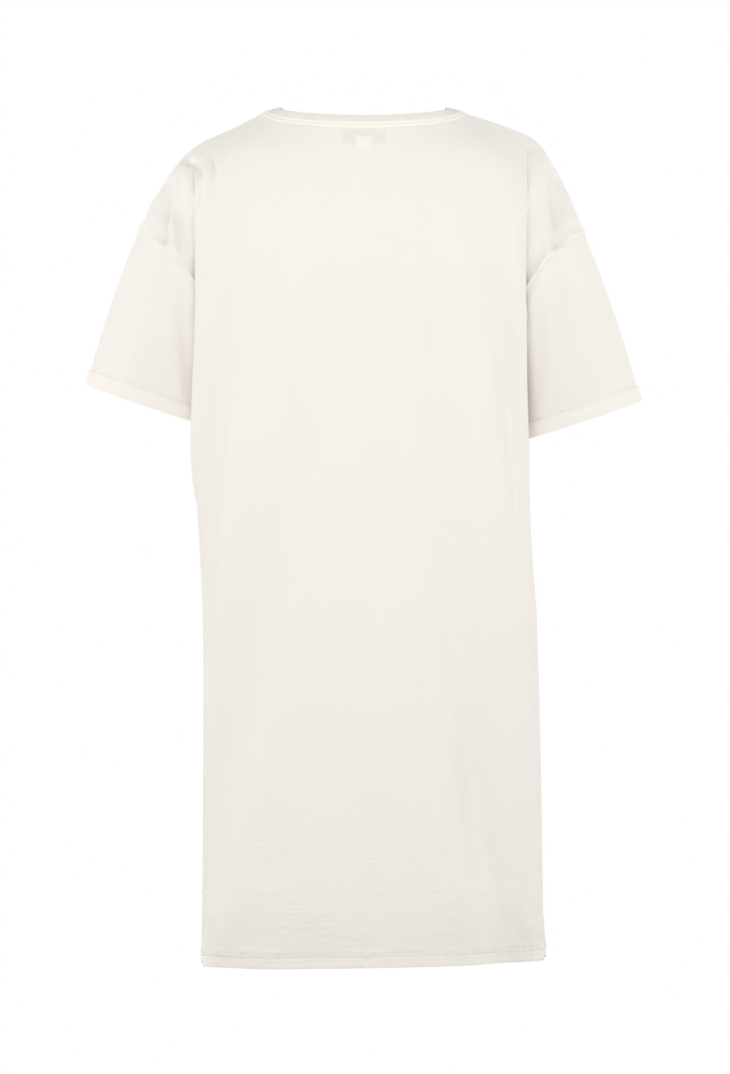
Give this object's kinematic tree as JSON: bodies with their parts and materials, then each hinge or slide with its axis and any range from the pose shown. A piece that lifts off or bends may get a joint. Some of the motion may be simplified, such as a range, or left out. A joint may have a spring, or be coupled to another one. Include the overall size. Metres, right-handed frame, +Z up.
{
  "type": "t-shirt dress",
  "caption": "Oversized drop-shoulder T-shirt dress in plain jersey, hollow as worn, with short cuffed sleeves, a bound rib neck and a straight hem.",
  "frame": {"origin": "midway between the two neck points, at the height of the shoulders that hold the dress up", "axes": "+Z up, +Y out of the back of the dress, +X to the wearer's left"},
  "size_m": [0.5946, 0.27, 0.9137],
  "materials": {
    "jersey": "off-white cotton jersey, matt",
    "rib": "off-white fine rib knit, matt",
    "label_tape": "plain woven tape, blank"
  },
  "bodies": {
    "root": {"back": "jersey", "front": "jersey", "sleeve_left": "jersey", "sleeve_right": "jersey", "cuff_left": "jersey", "cuff_right": "jersey", "neck_binding": "jersey", "neckband": "rib", "neck_label": "label_tape"}
  },
  "joints": []
}
